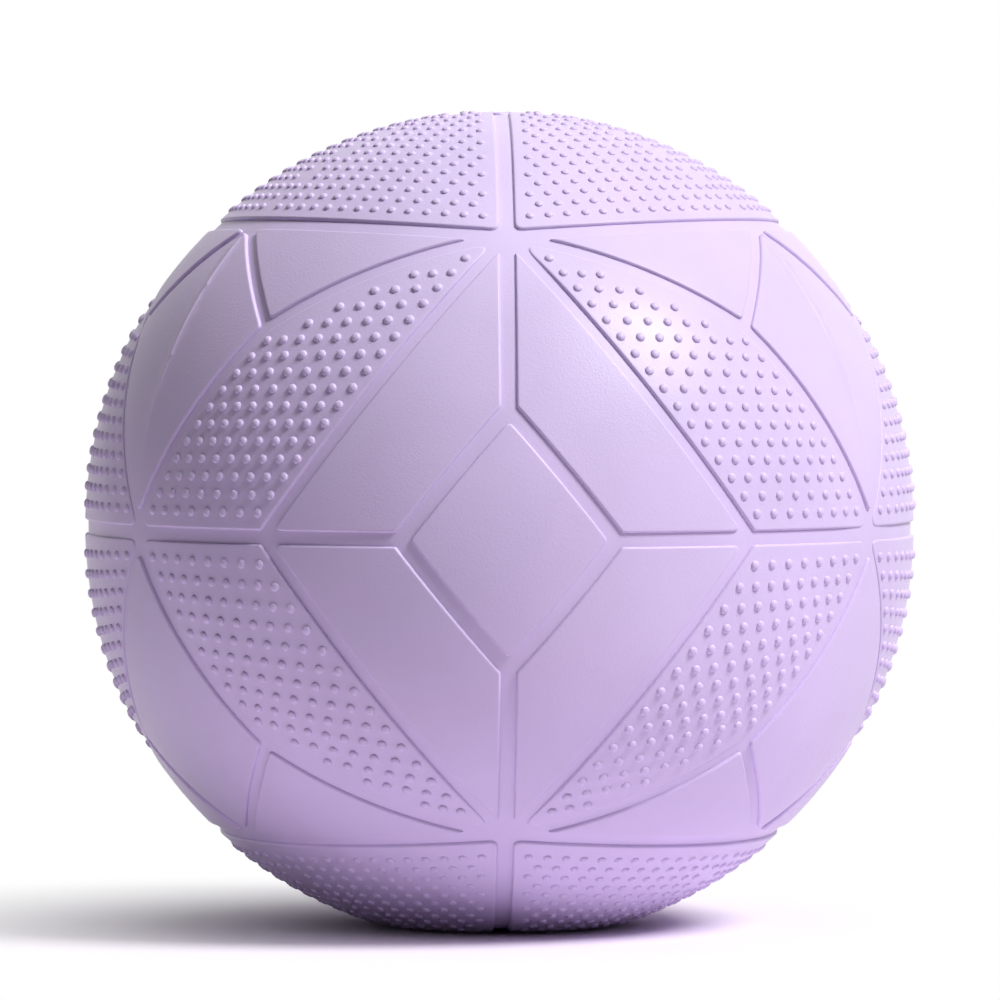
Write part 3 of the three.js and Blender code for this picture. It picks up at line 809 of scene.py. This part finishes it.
# Panels: each face has a diamond and four of kite, petal and wing, and between two faces lie two leaves
# and two caps. The pieces at the valve have a round bite for its collar.
diamond = panel_skin(diamond_form())
kite = panel_skin(kite_form())
wing = panel_skin(wing_form())
levels = {"upper": np.eye(3), "lower": MIRROR_UP_DOWN}
hands = {"right": np.eye(3), "left": MIRROR_LEFT_RIGHT}
petals = {}
leaves = {}
caps = {}
for level in levels:
    petals[level] = [panel_skin(petal_form(level, at_valve)) for at_valve in (False, True)]
    leaves[level] = [panel_skin(leaf_form(level, at_valve)) for at_valve in (False, True)]
    caps[level] = panel_skin(cap_form(level))

for index, (face, gap) in enumerate(FACE_GAPS.items()):
    turn = turn_about_z(index * FACE_PITCH)
    panel(f"{face}_diamond", diamond, turn, panel_rubber)
    for level, flip in levels.items():
        placed = turn @ flip
        for hand, swap in hands.items():
            matrix = placed @ swap
            panel(f"{face}_{level}_{hand}_kite", kite, matrix, panel_rubber)
            panel(f"{face}_{level}_{hand}_wing", wing, matrix, panel_rubber)
            panel(f"{face}_{level}_{hand}_petal", petals[level][meets_valve(matrix)], matrix, panel_rubber)
        panel(f"{gap}_{level}_leaf", leaves[level][meets_valve(placed)], placed, panel_rubber)
        panel(f"{gap}_{level}_cap", caps[level], placed, panel_rubber)

# Camera, from the photograph's side; angles in degrees
VIEW_DISTANCE = 2.408
VIEW_ELEVATION = 1.9
VIEW_YAW = -1.304
VIEW_ROLL = 0.11
FOCAL_LENGTH_MM = 311.9
SENSOR_MM = 36
FRAME_SHIFT = (0.0005, 0.0261)  # in frame widths

camera_data = bpy.data.cameras.new("camera")
camera_data.lens = FOCAL_LENGTH_MM
camera_data.sensor_width = SENSOR_MM
camera_data.shift_x, camera_data.shift_y = FRAME_SHIFT
camera = bpy.data.objects.new("camera", camera_data)
camera.location = CENTRE + Vector(direction(VIEW_ELEVATION, VIEW_YAW)) * VIEW_DISTANCE
facing = (CENTRE - camera.location).to_track_quat("-Z", "Y").to_matrix()
roll = Matrix.Rotation(math.radians(VIEW_ROLL), 3, "Z")
camera.rotation_euler = (facing @ roll).to_euler()
bpy.context.scene.collection.objects.link(camera)
bpy.context.scene.camera = camera


# Light: a large soft lamp from the upper right, a weak one from above, a dim studio, and a pale floor
# that throws light back; the floor's lavender tint is painted reflection of the ball's purple light
def soft_sun(name, lat, lon, spread, strength):
    """A lamp far away at a latitude and longitude of the ball, spread over an angle in degrees."""
    data = bpy.data.lights.new(name, "SUN")
    data.angle = math.radians(spread)
    data.energy = strength
    lamp = bpy.data.objects.new(name, data)
    lamp.location = CENTRE + Vector(direction(lat, lon))
    lamp.rotation_euler = (CENTRE - lamp.location).to_track_quat("-Z", "Y").to_euler()
    bpy.context.scene.collection.objects.link(lamp)


soft_sun("key", lat=49, lon=60, spread=22, strength=3.75)
soft_sun("top", lat=88, lon=90, spread=40, strength=0.65)

AMBIENT = 0.02  # light from the studio around, which looks white itself
WHITE = (1, 1, 1, 1)
# Pale floor colour with a lavender tint: painted reflection of the ball's purple light, which also tints
# the light it throws back
FLOOR_COLOUR_WITH_PAINTED_REFLECTION = (0.92, 0.84, 0.94, 1)
FLOOR_ROUGHNESS = 0.9
FLOOR_FADE = (0.025, 0.225)  # distances from the origin at which the floor starts and ends turning white
FLOOR_HALF = 0.45  # past the fade, which hides the floor's edge
FLOOR_GAP = 0.0002  # below the ball


def seen_rays(tree):
    """1 for the rays that show a background: from the camera, from gloss and through glass."""
    path = tree.nodes.new("ShaderNodeLightPath")
    seen = path.outputs["Is Camera Ray"]
    for kind in ("Is Glossy Ray", "Is Transmission Ray"):
        node = tree.nodes.new("ShaderNodeMath")
        node.operation = "MAXIMUM"
        tree.links.new(seen, node.inputs[0])
        tree.links.new(path.outputs[kind], node.inputs[1])
        seen = node.outputs["Value"]
    return seen


def paper():
    """Pale paper, tinted lavender as painted reflection of the ball, that turns to plain white away from
    the ball.
    """
    material = bpy.data.materials.new("paper")
    material.use_nodes = True
    tree = material.node_tree
    shader = tree.nodes["Principled BSDF"]
    shader.inputs["Base Color"].default_value = FLOOR_COLOUR_WITH_PAINTED_REFLECTION
    shader.inputs["Roughness"].default_value = FLOOR_ROUGHNESS
    shader.inputs["Specular IOR Level"].default_value = 0
    coords = tree.nodes.new("ShaderNodeTexCoord")
    distance = tree.nodes.new("ShaderNodeVectorMath")
    distance.operation = "LENGTH"
    tree.links.new(coords.outputs["Object"], distance.inputs[0])
    fade = tree.nodes.new("ShaderNodeMapRange")
    fade.interpolation_type = "SMOOTHSTEP"
    for socket, limit in zip(("From Min", "From Max"), FLOOR_FADE):
        fade.inputs[socket].default_value = limit
    tree.links.new(distance.outputs["Value"], fade.inputs["Value"])
    shown = tree.nodes.new("ShaderNodeMath")
    shown.operation = "MULTIPLY"
    tree.links.new(fade.outputs["Result"], shown.inputs[0])
    tree.links.new(seen_rays(tree), shown.inputs[1])
    white = tree.nodes.new("ShaderNodeEmission")
    white.inputs["Color"].default_value = WHITE
    mix = tree.nodes.new("ShaderNodeMixShader")
    tree.links.new(shown.outputs["Value"], mix.inputs["Fac"])
    tree.links.new(shader.outputs["BSDF"], mix.inputs[1])
    tree.links.new(white.outputs["Emission"], mix.inputs[2])
    tree.links.new(mix.outputs["Shader"], tree.nodes["Material Output"].inputs["Surface"])
    return material


floor_mesh = bpy.data.meshes.new("floor")
signs = [(-1, -1), (1, -1), (1, 1), (-1, 1)]
floor_corners = [(x * FLOOR_HALF, y * FLOOR_HALF, -FLOOR_GAP) for x, y in signs]
floor_mesh.from_pydata(floor_corners, [], [(0, 1, 2, 3)])
floor_mesh.materials.append(paper())
floor = bpy.data.objects.new("floor", floor_mesh)
bpy.context.scene.collection.objects.link(floor)

world = bpy.data.worlds.new("studio")
world.use_nodes = True
studio = world.node_tree
background = studio.nodes["Background"]
background.inputs["Color"].default_value = WHITE
brightness = studio.nodes.new("ShaderNodeMapRange")
brightness.inputs["To Min"].default_value = AMBIENT
brightness.inputs["To Max"].default_value = 1
studio.links.new(seen_rays(studio), brightness.inputs["Value"])
studio.links.new(brightness.outputs["Result"], background.inputs["Strength"])
bpy.context.scene.world = world

bpy.context.scene.view_settings.view_transform = "Standard"
